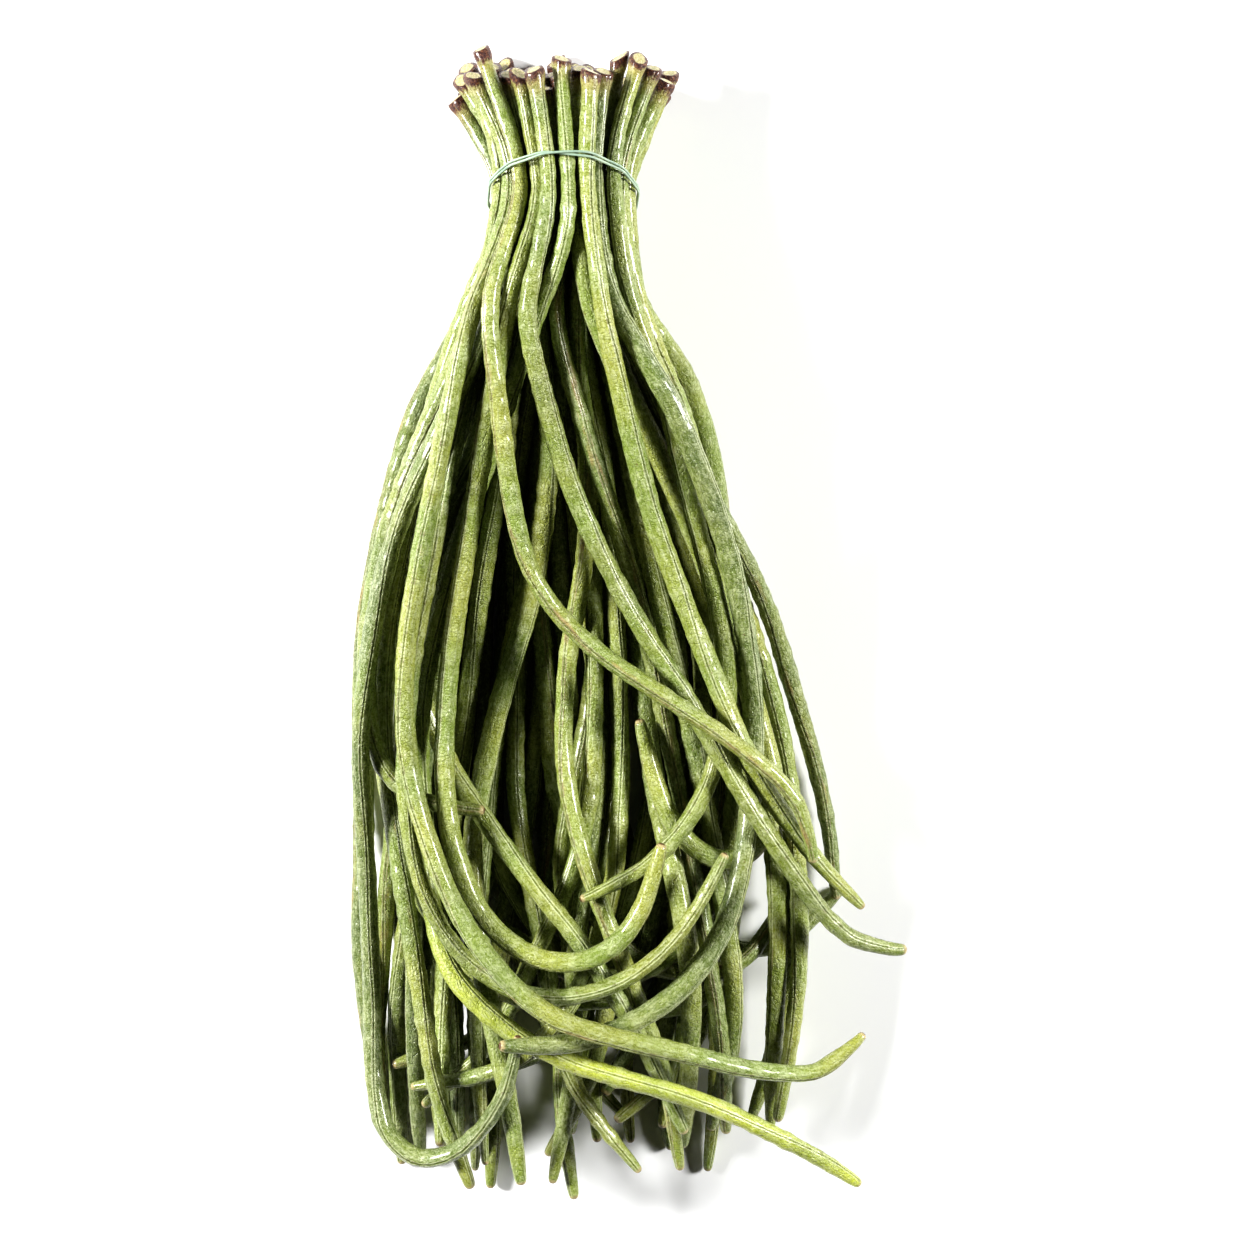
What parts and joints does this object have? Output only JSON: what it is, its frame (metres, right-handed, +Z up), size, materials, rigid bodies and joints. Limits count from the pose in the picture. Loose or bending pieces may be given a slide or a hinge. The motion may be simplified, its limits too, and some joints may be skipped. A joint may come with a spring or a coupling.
{
  "type": "bundle of long beans",
  "caption": "Bundle of fresh long beans lying on its side, gathered near the cut stems by a doubled rubber band, with the tips spread out and some hooked back.",
  "frame": {"origin": "middle of the underside of the bounding box, on the surface that the bundle lies on", "axes": "+Y along the bundle from the tips to the cut stems, +X across it to the right as seen from above with the stems at the top, +Z up"},
  "size_m": [0.2336, 0.4892, 0.0898],
  "materials": {
    "pod": "waxy satin skin, mottled pale and mid green, brown streaks along the seams",
    "pod_bright": "waxy satin skin, bright yellow-green",
    "band": "smooth matt rubber"
  },
  "bodies": {
    "root": {"bean_01": "pod", "bean_02": "pod", "bean_03": "pod", "bean_04": "pod", "bean_05": "pod", "bean_06": "pod", "bean_07": "pod", "bean_08": "pod", "bean_09": "pod", "bean_10": "pod", "bean_11": "pod", "bean_12": "pod", "bean_13": "pod", "bean_14": "pod", "bean_15": "pod", "bean_16": "pod", "bean_17": "pod", "bean_18": "pod", "bean_19": "pod", "bean_20": "pod", "bean_21": "pod", "bean_22": "pod", "bean_23": "pod", "bean_24": "pod", "bean_25": "pod", "bean_26": "pod", "bean_27": "pod", "bean_28": "pod", "bean_29": "pod", "bean_30": "pod", "bean_31": "pod", "bean_32": "pod", "bean_33": "pod", "bean_34": "pod", "bean_35": "pod", "bean_36": "pod", "bean_37": "pod", "bean_38": "pod", "bean_39": "pod", "bean_40": "pod", "bean_41": "pod", "bean_42": "pod", "bean_43": "pod", "bean_44": "pod", "bean_45": "pod_bright", "bean_46": "pod", "bean_47": "pod", "bean_48": "pod", "bean_49": "pod", "bean_50": "pod", "bean_51": "pod", "bean_52": "pod", "bean_53": "pod", "bean_54": "pod", "bean_55": "pod", "bean_56": "pod", "rubber_band": "band"}
  },
  "joints": []
}
